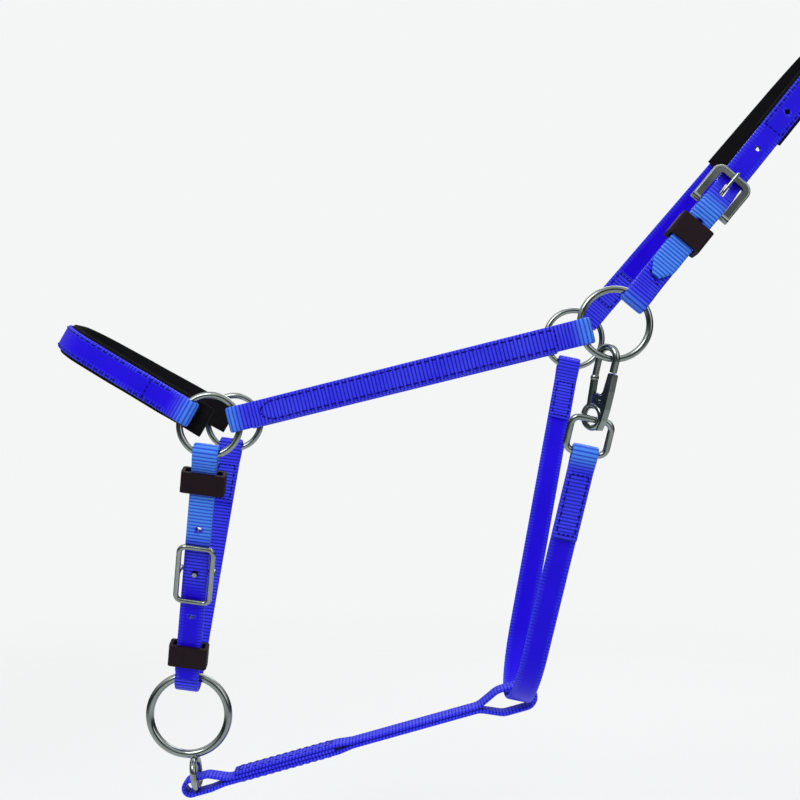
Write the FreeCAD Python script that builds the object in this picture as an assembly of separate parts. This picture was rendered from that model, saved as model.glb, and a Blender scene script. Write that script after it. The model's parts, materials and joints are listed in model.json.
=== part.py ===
"""Webbing head halter with stainless rings: one named solid per piece, in millimetres.

The origin is the seat of the crown on the poll, +X points back from the nose, -Y is the
near (left) side, where the halter buckles, and +Z is up.
"""

import FreeCAD
import Part
import os
from math import atan, cos, radians, sin, sqrt, tan

# Webbing and pads
webbing_width = 16.0
webbing_thickness = 2.5
layer_gap = 0.1
pad_thickness = 3.0
pad_margin = 2.0
sewn_tail = 42.0

# The head the halter fits: half widths, strap lengths and strap angles in the side view
cheek_half_width = 95.0
nose_half_width = 62.0
crown_rise = 255.0
crown_half_width = 46.0
cheek_length = 255.4
noseband_reach = 119.0
noseband_half_width = 36.0
noseband_corner = 34.0
chin_drop = 170.7
chin_swing = 5.0
throat_drop = 250.0
throat_half_width = 42.0
crown_angle = 50.0
cheek_angle = 193.9
noseband_angle = 150.3
chin_angle = -97.6
throat_angle = -101.8

# Rings, to the centre line of the wire
cheek_ring_radius = webbing_width + 4.9
nose_ring_radius = webbing_width + 2.9
ring_wire = 4.2
lead_ring_radius = 26.25
lead_ring_wire = 5.5
lead_eye_angle = -83.0
lead_eye_drop = 48.0
lead_eye_height = 18.0
lead_eye_corner = 7.0
lead_eye_wire = 4.5

# Crown buckle, distances up the strap from the near cheek ring's fold
crown_tip = 17.5
crown_keeper_place = 53.5
crown_keeper_length = 16.0
heel_bar_place = 76.5
buckle_length = 24.0
buckle_rest = 0.9
buckle_rise = webbing_thickness + buckle_rest
buckle_thickness = 3.4
buckle_bar_width = 4.6
buckle_side_width = 5.2
buckle_corner = 6.5
heel_bar_wire = 3.8
tongue_wire = 2.2
billet_hole_pitch = 32.0
billet_hole = 3.6
crown_pad_start = 140.0
billet_point = 9.0

# Chin strap, distances down the strap from the near nose ring's fold
chin_tip = 162.0
chin_buckle_place = 83.0
chin_buckle_length = 38.0
chin_buckle_wire = 3.4
chin_prong = 3.0
chin_hole = 3.8
chin_hole_pitch = 31.0
chin_keeper_places = {"chin_keeper_upper": (20.0, 14.0, 3.8), "chin_keeper_lower": (143.0, 15.0, 2.5)}

# Keepers
keeper_wall = 2.2
keeper_slack = 0.5
keeper_side_slack = 1.3

# Throat snap and its rectangular ring, distances down the strap from the near cheek ring's wire
loop_wire = 4.2
loop_length = 21.5
loop_side_room = 2.3
loop_width = webbing_width + 2 * loop_side_room + loop_wire
loop_corner = 5.0
throat_loop_place = 40.2
throat_tail = 56.0
snap_twist = 40.0
snap_wire = 4.5
snap_hook_radius = 6.75
snap_tip_length = 7.0
snap_eye_hole = 5.0
snap_eye_wire = 3.8
snap_bar_rest = 1.5
snap_pin = 2.0
snap_lug = 3.0
gate_wall = 0.9
gate_side_gap = 0.25
gate_gap = 1.3

# Jaw strap, distances along it from the bar of the lead ring's eye
jaw_splice_start = 22.0
jaw_splice_end = 96.0
jaw_front_reach = 8.6
jaw_rear_room = 12.8
jaw_rear_radius = 8.0
jaw_rear_length = 26.0

# Clearances
ring_fold_clearance = 0.9
bar_fold_clearance = 0.35
running_gap = 0.4
pivot_clearance = 0.3

half_layer = (webbing_thickness + layer_gap) / 2
half_webbing = webbing_thickness / 2
pad_width = webbing_width + 2 * pad_margin
V = FreeCAD.Vector


def side_view(angle, distance, start=V(0, 0, 0)):
    """Point at a distance from start, in a direction measured from +X towards +Z."""
    return start + V(cos(radians(angle)), 0, sin(radians(angle))) * distance


def left_of(heading):
    return V(-heading.y, heading.x, 0)


def heading_to(start, end):
    return (end - start).normalize()


def along(start, end, distance, outward=0.0):
    """Point along the line from start to end, moved to its left by outward."""
    heading = heading_to(start, end)
    return start + heading * distance + left_of(heading) * outward


def full_round(half_width, heading):
    """Radius that rounds nearly the whole end between two corners, for sides along a heading."""
    return 0.96 * half_width / tan(heading.getAngle(V(1, 0, 0)) / 2)


def moved_corner(before, corner, after, offset):
    """Corner of a line that runs parallel to another one, at offset to its left."""
    first = left_of(heading_to(before, corner))
    second = left_of(heading_to(corner, after))
    return corner + (first + second) * (offset / (1 + first.dot(second)))


def rounded_runs(points, radii):
    """Straight runs joined by tangent arcs, each as (start, end, arc centre or None)."""
    runs = []
    start = points[0]
    for before, corner, after, radius in zip(points, points[1:], points[2:], radii):
        incoming = heading_to(before, corner)
        outgoing = heading_to(corner, after)
        turn = incoming.getAngle(outgoing)
        if turn < 0.001:
            continue
        reach = radius * tan(turn / 2)
        side = 1 if incoming.cross(outgoing).z > 0 else -1
        arc_start = corner - incoming * reach
        centre = arc_start + left_of(incoming) * (side * radius)
        if (arc_start - start).Length > 0.001:
            runs.append((start, arc_start, None))
        start = corner + outgoing * reach
        runs.append((arc_start, start, centre))
    if (points[-1] - start).Length > 0.001:
        runs.append((start, points[-1], None))
    return runs


def offset_edge(run, offset):
    """Edge parallel to a run, at offset to the left of its direction."""
    start, end, centre = run
    if centre is None:
        shift = left_of(heading_to(start, end)) * offset
        return Part.LineSegment(start + shift, end + shift).toShape()
    out_start = heading_to(centre, start)
    out_end = heading_to(centre, end)
    out_middle = (out_start + out_end).normalize()
    turns_left = out_start.cross(out_end).z > 0
    radius = (start - centre).Length - (offset if turns_left else -offset)
    arc = Part.Arc(centre + out_start * radius, centre + out_middle * radius, centre + out_end * radius)
    return arc.toShape()


def band(points, radii, width, lower=-half_webbing, upper=half_webbing):
    """Flat strip that follows a rounded path, between two offsets to the path's left."""
    runs = rounded_runs(points, radii)
    lower_edges = [offset_edge(run, lower) for run in runs]
    upper_edges = [offset_edge(run, upper) for run in runs]
    ends = []
    for index, point in ((0, 0), (-1, -1)):
        low = lower_edges[index].Vertexes[point].Point
        high = upper_edges[index].Vertexes[point].Point
        ends.append(Part.LineSegment(low, high).toShape())
    outline = Part.Wire(Part.__sortEdges__(lower_edges + upper_edges + ends))
    face = Part.Face(outline)
    face.translate(V(0, 0, -width / 2))
    return face.extrude(V(0, 0, width))


def path_wire(points, radii):
    edges = [offset_edge(run, 0) for run in rounded_runs(points, radii)]
    return Part.Wire(Part.__sortEdges__(edges))


def rod_loop(width, length, corner, wire):
    """Round wire bent into a closed rounded rectangle, in the XY plane and centred there."""
    x = width / 2
    y = length / 2
    corners = [V(0, -y, 0), V(x, -y, 0), V(x, y, 0), V(-x, y, 0), V(-x, -y, 0), V(0, -y, 0)]
    spine = path_wire(corners, [corner] * 4)
    section = Part.Wire(Part.Circle(corners[0], V(1, 0, 0), wire / 2).toShape())
    return spine.makePipeShell([section], True, False)


def rounded_block(width, height, depth, corner):
    """Block centred on the origin, with its four edges along Z rounded."""
    block = Part.makeBox(width, height, depth, V(-width / 2, -height / 2, -depth / 2))
    upright = [edge for edge in block.Edges if abs(edge.tangentAt(edge.FirstParameter).z) > 0.9]
    return block.makeFillet(corner, upright)


def prism(outline, thickness):
    """Flat plate with straight edges, in the XY plane and centred on it."""
    face = Part.Face(Part.makePolygon([V(x, y, -thickness / 2) for x, y in outline + outline[:1]]))
    return face.extrude(V(0, 0, thickness))


def rod(start, end, radius):
    return Part.makeCylinder(radius, (end - start).Length, start, end - start)


def fold(centre, heading, bar_wire, clearance, dip, tail, side, release=True):
    """Path of webbing that comes in along heading, folds round a bar and is sewn back.

    The strap lies to the left of heading when side is 1, and its returning tail to the right.
    The dip is how far a ring's wire curves away from the fold at the middle of the webbing.
    Past the tail's end, a released strap is free to leave its line.
    """
    radius = bar_wire / 2 + clearance + half_webbing
    straight = dip + bar_wire / 2
    spread = 9.0
    bend = 9.0
    left = left_of(heading) * side
    points = [
        centre - heading * (straight + spread) + left * half_layer,
        centre - heading * straight + left * radius,
        centre + heading * radius + left * radius,
        centre + heading * radius - left * radius,
        centre - heading * straight - left * radius,
        centre - heading * (straight + spread) - left * half_layer,
        centre - heading * tail - left * half_layer,
    ]
    radii = [bend, bend, radius, radius, bend, bend]
    if release:
        points.insert(0, centre - heading * (tail + 5.0) + left * half_layer)
        radii.insert(0, bend)
    return points, radii


def joined(*stretches):
    """Points and corner radii of several stretches, end to end."""
    points = [point for stretch in stretches for point in stretch[0]]
    radii = [radius for stretch in stretches for radius in stretch[1]]
    return points, radii


def backwards(stretch):
    return stretch[0][::-1], stretch[1][::-1]


def in_plane(shape, centre, angle):
    """Place a strap drawn in its own plane: x is the side direction, y runs along the angle."""
    c = cos(radians(angle))
    s = sin(radians(angle))
    turn = FreeCAD.Matrix(0, c, s, centre.x, 1, 0, 0, centre.y, 0, s, -c, centre.z, 0, 0, 0, 1)
    return shape.transformed(turn)


def on_strap(shape, point, heading):
    """Place a fitting in a strap's plane: x across the strap, y along it, z outward."""
    turn = FreeCAD.Matrix(
        0, heading.x, -heading.y, point.x, 0, heading.y, heading.x, point.y, 1, 0, 0, 0, 0, 0, 0, 1
    )
    return shape.transformed(turn)


def mirrored(shape):
    return shape.mirror(V(0, 0, 0), V(0, 1, 0))


def ring(centre, radius, wire):
    return Part.makeTorus(radius, wire / 2, centre, V(0, 1, 0))


def wire_place(radius):
    """Distance from a ring's centre to its wire at the edges of the webbing."""
    return sqrt(radius ** 2 - (webbing_width / 2) ** 2)


def keeper(stack, length, side_slack):
    """Band round a stack of webbing: x across it, y along it, z outward."""
    inner_width = webbing_width + 2 * side_slack
    inner_height = stack + 2 * keeper_slack
    outer = rounded_block(inner_width + 2 * keeper_wall, inner_height + 2 * keeper_wall, length, 2.0)
    inner = rounded_block(inner_width, inner_height, length * 2, 0.8)
    shape = outer.cut(inner)
    shape.rotate(V(0, 0, 0), V(1, 0, 0), 90)
    return shape


cheek_centre = side_view(crown_angle, -crown_rise)
nose_centre = side_view(cheek_angle, cheek_length, cheek_centre)
near_cheek = cheek_centre + V(0, -cheek_half_width, 0)
near_nose = nose_centre + V(0, -nose_half_width, 0)
cheek_fold = wire_place(cheek_ring_radius)
nose_fold = wire_place(nose_ring_radius)
cheek_dip = cheek_ring_radius - cheek_fold
nose_dip = nose_ring_radius - nose_fold
parts = {}


# Rings
parts["near_cheek_ring"] = ring(near_cheek, cheek_ring_radius, ring_wire)
parts["near_nose_ring"] = ring(near_nose, nose_ring_radius, ring_wire)
for place in ("cheek", "nose"):
    parts["far_" + place + "_ring"] = mirrored(parts["near_" + place + "_ring"])


# Cheek straps: one strip each, folded round both rings, its two tails meeting inside
def cheek_strap():
    front = V(-nose_half_width, nose_fold, 0)
    back = V(-cheek_half_width, cheek_length - cheek_fold, 0)
    rise = heading_to(front, back)
    half = (back - front).Length / 2 - 0.5
    nose_end = fold(front, rise * -1, ring_wire, ring_fold_clearance, nose_dip, half, -1, False)
    cheek_end = fold(back, rise, ring_wire, ring_fold_clearance, cheek_dip, half, 1, False)
    points, radii = joined(backwards(nose_end), cheek_end)
    return in_plane(band(points, radii, webbing_width), nose_centre, cheek_angle - 180)


parts["near_cheek_strap"] = cheek_strap()
parts["far_cheek_strap"] = mirrored(parts["near_cheek_strap"])


# Noseband and its pad
def noseband():
    reach = noseband_reach - half_webbing
    start = V(-nose_half_width, nose_fold, 0)
    finish = V(nose_half_width, nose_fold, 0)
    left_corner = V(-noseband_half_width, reach, 0)
    right_corner = V(noseband_half_width, reach, 0)
    near = fold(start, heading_to(left_corner, start), ring_wire, ring_fold_clearance,
                nose_dip, sewn_tail, -1)
    far = fold(finish, heading_to(right_corner, finish), ring_wire, ring_fold_clearance,
               nose_dip, sewn_tail, 1)
    corners = ([left_corner, right_corner], [noseband_corner] * 2)
    points, radii = joined(backwards(near), corners, far)
    strap = band(points, radii, webbing_width)

    over_fold = -(ring_wire / 2 + ring_fold_clearance + webbing_thickness + running_gap + pad_thickness / 2)
    over_tail = -(half_layer + half_webbing + layer_gap + pad_thickness / 2)
    over_strap = -(half_webbing + layer_gap + pad_thickness / 2)
    pad_corner = moved_corner(start, left_corner, right_corner, over_strap)
    side = [
        along(start, left_corner, -13.0, over_fold),
        along(start, left_corner, 8.0, over_fold),
        along(start, left_corner, 18.0, over_tail),
        along(start, left_corner, sewn_tail + 2, over_tail),
        along(start, left_corner, sewn_tail + 14, over_strap + half_layer * 0.6),
        pad_corner,
    ]
    other_side = [V(-point.x, point.y, 0) for point in side[::-1]]
    bends = [14.0] * 4
    pad_radii = bends + [noseband_corner + over_strap] * 2 + bends
    half_pad = pad_thickness / 2
    pad = band(side + other_side, pad_radii, pad_width, -half_pad, half_pad)
    return [in_plane(shape, nose_centre, noseband_angle) for shape in (strap, pad)]


parts["noseband_webbing"], parts["noseband_pad"] = noseband()

# Crown line in its strap plane: near fold, the two corners over the poll, far fold
crown_top = crown_rise + pad_thickness + layer_gap + half_webbing
crown_near = V(-cheek_half_width, cheek_fold, 0)
crown_far = V(cheek_half_width, cheek_fold, 0)
crown_near_corner = V(-crown_half_width, crown_top, 0)
crown_far_corner = V(crown_half_width, crown_top, 0)
crown_heading = heading_to(crown_near, crown_near_corner)
crown_corner = full_round(crown_half_width, crown_heading)


def on_crown(distance, outward=0.0):
    return along(crown_near, crown_near_corner, distance, outward)


# Crown tab: a short strip round the near cheek ring and round the buckle's heel bar
tab_height = half_layer + half_webbing
heel_fold = heel_bar_wire / 2 + bar_fold_clearance + webbing_thickness


def crown_tab():
    middle = heel_bar_place / 2
    low = fold(crown_near, crown_heading * -1, ring_wire, ring_fold_clearance, cheek_dip, middle - 0.5, 1, False)
    high = fold(on_crown(heel_bar_place), crown_heading, heel_bar_wire, bar_fold_clearance,
                0, heel_bar_place - middle - 0.5, -1, False)
    points, radii = joined(backwards(low), high)
    tab = band(points, radii, webbing_width)
    slot = rounded_block(tongue_wire + 2.4, 22.0, 20.0, 2.0)
    return tab.cut(on_strap(slot, on_crown(heel_bar_place + 5.0), crown_heading))


parts["crown_tab"] = in_plane(crown_tab(), cheek_centre, crown_angle)


# Crown strap: the billet through the buckle, the poll, and the far ring's sewn fold
def crown_strap():
    over_tab = tab_height + layer_gap + half_webbing
    over_heel = heel_fold + layer_gap + half_webbing
    billet = [
        on_crown(crown_tip, over_tab),
        on_crown(heel_bar_place - 11.0, over_tab),
        on_crown(heel_bar_place - 4.0, over_heel),
        on_crown(heel_bar_place + 9.0, over_heel),
        on_crown(heel_bar_place + buckle_length - 5.0, 0.0),
    ]
    far = fold(crown_far, heading_to(crown_far_corner, crown_far), ring_wire,
               ring_fold_clearance, cheek_dip, sewn_tail, 1)
    corners = ([crown_near_corner, crown_far_corner], [crown_corner] * 2)
    points, radii = joined((billet, [9.0] * 4), corners, far)
    strap = band(points, radii, webbing_width)
    hole_centre = heel_bar_place + 13.0
    tongue_slot = rounded_block(billet_hole, 12.6, 24.0, billet_hole / 2 - 0.01)
    strap = strap.cut(on_strap(tongue_slot, on_crown(hole_centre), crown_heading))
    for count in (1, 2, -1):
        hole = Part.makeCylinder(billet_hole / 2, 24.0, V(0, 0, -12))
        place = on_crown(hole_centre + 5.0 + count * billet_hole_pitch)
        strap = strap.cut(on_strap(hole, place, crown_heading))
    for side in (-1, 1):
        edge = side * (webbing_width / 2 + 1)
        clipped = prism([(edge, -1), (edge, billet_point), (side * 2.5, -1)], 4 * webbing_thickness)
        strap = strap.cut(on_strap(clipped, on_crown(crown_tip, over_tab), crown_heading))
    return strap


parts["crown_strap"] = in_plane(crown_strap(), cheek_centre, crown_angle)


# Crown pad, under the crown strap across the poll
def crown_pad():
    points = [on_crown(crown_pad_start), crown_near_corner, crown_far_corner,
              along(crown_far, crown_far_corner, crown_pad_start)]
    upper = -half_webbing - layer_gap
    return band(points, [crown_corner] * 2, pad_width, upper - pad_thickness, upper)


parts["crown_pad"] = in_plane(crown_pad(), cheek_centre, crown_angle)


# Crown buckle: heel bar in the tab's fold, a flattened U rising over the billet, and a tongue
def crown_buckle():
    inner_width = webbing_width + 4 * running_gap
    width = inner_width + 2 * buckle_side_width
    height = 2 * (buckle_length + buckle_bar_width / 2)
    plate = rounded_block(width, height, buckle_thickness, buckle_corner)
    flat_edges = [edge for edge in plate.Edges if edge.BoundBox.ZLength < 0.01]
    plate = plate.makeFillet(1.3, flat_edges)
    opening = rounded_block(inner_width, height - 2 * buckle_bar_width, 20.0, 2.0)
    open_side = Part.makeBox(2 * width, height, 20.0, V(-width, -height, -10))
    frame = plate.cut(opening).cut(open_side)
    knob = rod(V(inner_width / 2, 0, 0), V(width / 2, 0, 0), 2.3)
    frame = frame.multiFuse([
        rod(V(-width / 2 + 1, 0, 0), V(width / 2 - 1, 0, 0), heel_bar_wire / 2),
        knob,
        knob.mirror(V(0, 0, 0), V(1, 0, 0)),
    ])
    frame.translate(V(0, -buckle_length / 2, 0))
    tilt = atan(buckle_rise / buckle_length)
    rise = V(crown_heading.x * cos(tilt) - crown_heading.y * sin(tilt),
             crown_heading.y * cos(tilt) + crown_heading.x * sin(tilt), 0)
    heel_centre = on_crown(heel_bar_place)
    return on_strap(frame, heel_centre + rise * (buckle_length / 2), rise)


def crown_tongue():
    radius = tongue_wire / 2
    eye = heel_bar_wire / 2 + pivot_clearance + radius
    over_bar = buckle_rise + buckle_thickness / 2 + radius + 0.2
    tongue = Part.makeTorus(eye, radius, V(0, 0, 0), V(1, 0, 0))
    base = V(0, 0, eye)
    bend = V(0, 11.0, eye - 0.3)
    tip = V(0, buckle_length + 1.3, over_bar + 0.8)
    tongue = tongue.multiFuse([
        rod(base, bend, radius),
        rod(bend, tip, radius),
        Part.makeSphere(radius, bend),
        Part.makeSphere(radius, tip),
    ])
    return on_strap(tongue, on_crown(heel_bar_place), crown_heading)


parts["crown_buckle_frame"] = in_plane(crown_buckle(), cheek_centre, crown_angle)
parts["crown_buckle_tongue"] = in_plane(crown_tongue(), cheek_centre, crown_angle)
crown_stack = 3 * webbing_thickness + 2 * layer_gap
crown_band = on_strap(
    keeper(crown_stack, crown_keeper_length, keeper_side_slack),
    on_crown(crown_keeper_place, crown_stack / 2 - tab_height),
    crown_heading,
)
parts["crown_keeper"] = in_plane(crown_band, cheek_centre, crown_angle)


# Chin strap: from its tip up to the near nose ring, back down through the lead ring, and up to the far one
lead_dip = lead_ring_radius - sqrt(lead_ring_radius ** 2 - (webbing_width / 2) ** 2)
lead_swing_room = running_gap + lead_dip + webbing_width / 2 * sin(radians(abs(-90 - chin_angle) + chin_swing))
chin_bottom = chin_drop + lead_dip + lead_ring_wire / 2 + lead_swing_room + half_webbing
chin_half_width = lead_ring_wire / 2 + lead_swing_room + half_webbing
chin_near = V(-nose_half_width, nose_fold, 0)
chin_far = V(nose_half_width, nose_fold, 0)
chin_near_corner = V(-chin_half_width - half_layer, chin_bottom, 0)
chin_far_corner = V(chin_half_width, chin_bottom, 0)
chin_heading = heading_to(chin_near, chin_near_corner)


def on_chin(distance, outward=0.0):
    return along(chin_near, chin_near_corner, distance, outward)


def chin_strap():
    near = fold(chin_near, chin_heading * -1, ring_wire, ring_fold_clearance, nose_dip, chin_tip, 1, False)
    far = fold(chin_far, heading_to(chin_far_corner, chin_far), ring_wire,
               ring_fold_clearance, nose_dip, sewn_tail, 1)
    inner_corner = V(-chin_half_width, chin_bottom, 0)
    corner = full_round(chin_half_width, chin_heading)
    points, radii = joined(backwards(near), ([inner_corner, chin_far_corner], [corner] * 2), far)
    strap = band(points, radii, webbing_width)
    tip_frame = Part.makeBox(40, 20, 3 * webbing_thickness, V(-20, -webbing_width / 2, -1.5 * webbing_thickness))
    tip_shape = Part.makeCylinder(webbing_width / 2, 40, V(0, -webbing_width / 2, -20))
    tip_corners = tip_frame.cut(tip_shape)
    strap = strap.cut(on_strap(tip_corners, on_chin(chin_tip, half_layer + webbing_thickness / 2), chin_heading))
    for count in (-1, 0, 1, 2):
        hole = Part.makeCylinder(chin_hole / 2, 10.0, V(0, 0, -5))
        place = on_chin(chin_buckle_place + count * chin_hole_pitch)
        strap = strap.cut(on_strap(hole, place, chin_heading))
    return strap


parts["chin_strap"] = in_plane(chin_strap(), nose_centre, chin_angle)


# Buckle of the chin strap: two bars in front, one behind, and a fixed prong
def conway_buckle():
    front = half_layer + half_webbing + 0.3 + chin_buckle_wire / 2
    width = webbing_width + 6 * running_gap + chin_buckle_wire
    frame = rod_loop(width, chin_buckle_length, 4.0, chin_buckle_wire)
    frame.translate(V(0, 0, front))
    x = width / 2
    pieces = [rod(V(-x, 0, -front), V(x, 0, -front), chin_buckle_wire / 2)]
    for side in (-x, x):
        pieces.append(rod(V(side, 0, -front), V(side, 0, front), chin_buckle_wire / 2))
        pieces.append(Part.makeSphere(chin_buckle_wire / 2, V(side, 0, -front)))
    pieces.append(rod(V(0, 0, -front), V(0, 0, front + 0.3), chin_prong / 2))
    return on_strap(frame.multiFuse(pieces), on_chin(chin_buckle_place), chin_heading)


parts["conway_buckle"] = in_plane(conway_buckle(), nose_centre, chin_angle)
for name, (place, length, side_slack) in chin_keeper_places.items():
    chin_band = keeper(2 * webbing_thickness + layer_gap, length, side_slack)
    chin_band = on_strap(chin_band, on_chin(place), chin_heading)
    parts[name] = in_plane(chin_band, nose_centre, chin_angle)


# Lead ring with its cast eye
lead_top = side_view(chin_angle, chin_drop, nose_centre)
lead_centre = lead_top - V(0, 0, lead_ring_radius)
eye_width = webbing_width + 2.0 + lead_eye_wire
eye_bar = side_view(lead_eye_angle, lead_eye_drop, lead_centre)


def lead_ring():
    eye = rod_loop(eye_width, lead_eye_height, lead_eye_corner, lead_eye_wire)
    eye.translate(V(0, lead_eye_drop - lead_eye_height / 2, 0))
    neck_length = lead_eye_drop - lead_eye_height - lead_ring_radius + lead_eye_wire / 4
    neck = Part.makeCone(lead_ring_wire * 0.55, lead_eye_wire * 0.62, neck_length,
                         V(0, lead_ring_radius, 0), V(0, 1, 0))
    eye = in_plane(eye.fuse(neck), lead_centre, lead_eye_angle)
    return ring(lead_centre, lead_ring_radius, lead_ring_wire).fuse(eye)


parts["lead_ring"] = lead_ring()

# Throat line in its strap plane: near ring, the two corners under the throat, far ring
throat_near = V(-cheek_half_width, cheek_fold, 0)
throat_far = V(cheek_half_width, cheek_fold, 0)
throat_near_corner = V(-throat_half_width, throat_drop, 0)
throat_far_corner = V(throat_half_width, throat_drop, 0)
throat_heading = heading_to(throat_near, throat_near_corner)


def on_throat(distance, outward=0.0):
    return along(throat_near, throat_near_corner, distance, outward)


# Throat strap, sewn round the rectangular ring and round the far cheek ring
def throat_strap():
    lower_bar = on_throat(throat_loop_place + loop_length)
    near = fold(lower_bar, throat_heading * -1, loop_wire, bar_fold_clearance, 0, throat_tail, 1)
    far = fold(throat_far, heading_to(throat_far_corner, throat_far), ring_wire,
               ring_fold_clearance, cheek_dip, sewn_tail, 1)
    corner = full_round(throat_half_width, throat_heading)
    corners = ([throat_near_corner, throat_far_corner], [corner] * 2)
    points, radii = joined(backwards(near), corners, far)
    return band(points, radii, webbing_width)


def throat_loop():
    loop = rod_loop(loop_width, loop_length, loop_corner, loop_wire)
    return on_strap(loop, on_throat(throat_loop_place + loop_length / 2), throat_heading)


parts["throat_strap"] = in_plane(throat_strap(), cheek_centre, throat_angle)
parts["throat_loop"] = in_plane(throat_loop(), cheek_centre, throat_angle)


# Throat snap. Drawn in the plane of its hook: x towards the gate, y down the strap
def place_snap(shape):
    turned = shape.copy()
    turned.rotate(V(0, 0, 0), V(0, 1, 0), -90 - snap_twist)
    return in_plane(on_strap(turned, on_throat(cheek_dip), throat_heading), cheek_centre, throat_angle)


snap_eye_centre = V(-1.0, throat_loop_place - cheek_dip - snap_bar_rest, 0)
snap_pin_centre = V(3.0, snap_eye_centre.y - 10.6, 0)


def snap_body():
    reach = snap_hook_radius
    radius = snap_wire / 2
    hook = Part.Face(Part.Wire(Part.Circle(V(-reach, 0, 0), V(0, 1, 0), radius).toShape()))
    hook = hook.revolve(V(0, 0, 0), V(0, 0, 1), 180)
    tip = rod(V(reach, 0, 0), V(reach, snap_tip_length, 0), radius)
    shoulder = V(-reach + 0.3, 14.0, 0)
    hip = V(snap_eye_centre.x - 3.6, snap_eye_centre.y - 6.0, 0)
    spine = rod(V(-reach, 0, 0), shoulder, radius - 0.25)
    collar = Part.makeSphere(radius + 0.35, shoulder)
    shank = rod(shoulder, hip, radius + 0.1)
    eye_radius = snap_eye_hole + snap_eye_wire / 2
    eye = Part.makeTorus(eye_radius, snap_eye_wire / 2, snap_eye_centre, V(0, 0, 1))
    x = snap_pin_centre.x
    y = snap_pin_centre.y
    lug = prism([(-6.4, y - 3.6), (x + 1.8, y - 3.0), (x + 1.8, y + 3.0), (x - 2.0, y + 5.2),
                 (-4.5, y + 6.4), (-6.4, y + 6.4)], snap_lug)
    body = hook.multiFuse([tip, spine, collar, shank, eye, lug])
    pin_hole = Part.makeCylinder(snap_pin / 2, 20, V(x, y, -10))
    return body.cut(pin_hole)


def snap_gate():
    x = snap_pin_centre.x
    y = snap_pin_centre.y
    top = snap_tip_length + gate_gap
    bottom = snap_eye_centre.y + 6.4
    outer = snap_hook_radius + snap_wire / 2
    outline = [(outer - 3.6, top - 0.5), (outer, top), (outer + 0.5, y - 8), (outer + 0.6, y + 3),
               (outer, y + 10.5), (outer - 1.6, bottom), (outer - 2.6, bottom), (outer - 1.2, y + 10.5),
               (outer - 2.0, y + 4.5), (x + 2.0, y + 3.0), (x - 2.0, y + 2.3), (x - 2.0, y - 2.3),
               (x + 1.6, y - 4.5)]
    inner = outer - gate_wall
    cavity = [(x - 6, top + 1.5), (inner, top + 1.5), (inner + 0.5, y - 8), (inner + 0.6, y + 3),
              (inner, y + 10.5), (inner - 1.3, bottom - 1.2), (x - 6, bottom - 1.2)]
    channel = snap_lug + 2 * gate_side_gap
    gate = prism(outline, channel + 2 * gate_wall).cut(prism(cavity, channel))
    return gate.cut(Part.makeCylinder(snap_pin / 2 + pivot_clearance, 20, V(x, y, -10)))


def snap_pin_shape():
    half = snap_lug / 2 + gate_side_gap + gate_wall + 0.15
    x = snap_pin_centre.x
    y = snap_pin_centre.y
    heads = [Part.makeCylinder(snap_pin * 0.75, 0.5, V(x, y, z)) for z in (-half - 0.5, half)]
    return Part.makeCylinder(snap_pin / 2, 2 * half, V(x, y, -half)).multiFuse(heads)


def snap_spring():
    x = snap_pin_centre.x
    y = snap_pin_centre.y - 3.6
    leaf = [V(x - 5.4, y - 0.3, 0), V(x - 1.0, y - 0.1, 0), V(snap_hook_radius + 1.0, y - 9.0, 0)]
    return band(leaf, [2.0], snap_lug - 0.4, -0.2, 0.2)


parts["snap_body"] = place_snap(snap_body())
parts["snap_gate"] = place_snap(snap_gate())
parts["snap_gate_pin"] = place_snap(snap_pin_shape())
parts["snap_spring"] = place_snap(snap_spring())


# Jaw strap, seen from the side: x along X and y along Z
def jaw_strap():
    throat_bottom = side_view(throat_angle, throat_drop, cheek_centre)
    front = V(eye_bar.x, eye_bar.z, 0)
    back = V(throat_bottom.x, throat_bottom.z, 0)
    length = (back - front).Length
    layer = webbing_thickness + layer_gap
    under_bar = -(lead_eye_wire / 2 + running_gap + half_webbing)
    over_bar = lead_eye_wire / 2 + 2.3 + half_webbing
    front_radius = (over_bar - under_bar) / 2
    split = length - jaw_rear_length
    rear = length + jaw_rear_room
    route = [
        (jaw_splice_end, 0, 12),
        (jaw_splice_start, 0, 12),
        (jaw_splice_start - 13, over_bar, 8),
        (-jaw_front_reach, over_bar, front_radius),
        (-jaw_front_reach, under_bar, front_radius),
        (jaw_splice_start - 13, under_bar, 12),
        (jaw_splice_start - 3, -layer, 12),
        (jaw_splice_end + 2, -layer, 12),
        (jaw_splice_end + 12, -layer / 2, 12),
        (split, -layer / 2, 12),
        (split + 15, -jaw_rear_radius, 12),
        (rear, -jaw_rear_radius, jaw_rear_radius),
        (rear, jaw_rear_radius, jaw_rear_radius),
        (split + 15, jaw_rear_radius, 12),
        (split, layer / 2, 12),
        (jaw_splice_end + 12, layer / 2, 12),
        (jaw_splice_end + 2, layer, 12),
        (jaw_splice_start + 5, layer, 12),
    ]
    points = [along(front, back, distance, up) for distance, up, radius in route]
    strap = band(points, [radius for distance, up, radius in route[1:-1]], webbing_width)
    strap.rotate(V(0, 0, 0), V(1, 0, 0), 90)
    return strap


parts["jaw_strap"] = jaw_strap()

os.makedirs("parts", exist_ok=True)
for name, shape in parts.items():
    shape.exportStep("parts/" + name + ".step")
    print(name, len(shape.Solids), shape.isValid(), round(shape.Volume, 1))
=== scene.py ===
"""Webbing head halter: the look of each piece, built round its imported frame, in metres."""

import bmesh
import bpy
import json
from math import atan2, ceil, cos, pi, radians, sin, sqrt, tan
from mathutils import Matrix, Vector


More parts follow.
